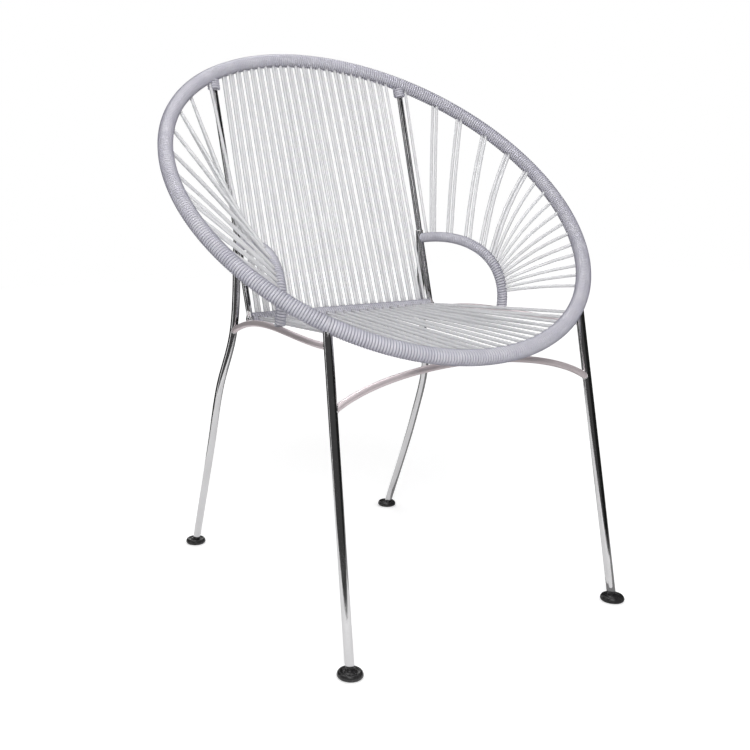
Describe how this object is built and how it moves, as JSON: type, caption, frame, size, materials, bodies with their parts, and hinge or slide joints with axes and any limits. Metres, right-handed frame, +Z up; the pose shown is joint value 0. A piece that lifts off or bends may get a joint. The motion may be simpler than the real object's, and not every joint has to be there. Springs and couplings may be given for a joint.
{
  "type": "acapulco chair",
  "caption": "Round-backed lounge chair: a tilted hoop on splayed steel rod legs, strung with taut clear cord that forms its seat, back and sides.",
  "frame": {"origin": "on the floor, in the middle of the footprint of the four glides", "axes": "+Z up, the sitter faces -Y, +X is the right side as seen from the front"},
  "size_m": [0.7112, 0.5842, 0.8633],
  "materials": {
    "chrome_rod": "polished chrome-plated steel rod",
    "clear_cord": "clear extruded vinyl cord, milky where it is wound close",
    "black_glide": "glossy black moulded plastic"
  },
  "bodies": {
    "root": {"hoop_rod": "chrome_rod", "rear_seat_bar": "chrome_rod", "front_crossbar": "chrome_rod", "back_post_left": "chrome_rod", "front_leg_left": "chrome_rod", "back_leg_left": "chrome_rod", "side_bar_left": "chrome_rod", "side_arch_left": "chrome_rod", "back_post_right": "chrome_rod", "front_leg_right": "chrome_rod", "back_leg_right": "chrome_rod", "side_bar_right": "chrome_rod", "side_arch_right": "chrome_rod", "back_cords": "clear_cord", "seat_cords": "clear_cord", "side_cords_left": "clear_cord", "side_cords_right": "clear_cord", "front_glide_left": "black_glide", "back_glide_left": "black_glide", "front_glide_right": "black_glide", "back_glide_right": "black_glide"}
  },
  "joints": []
}
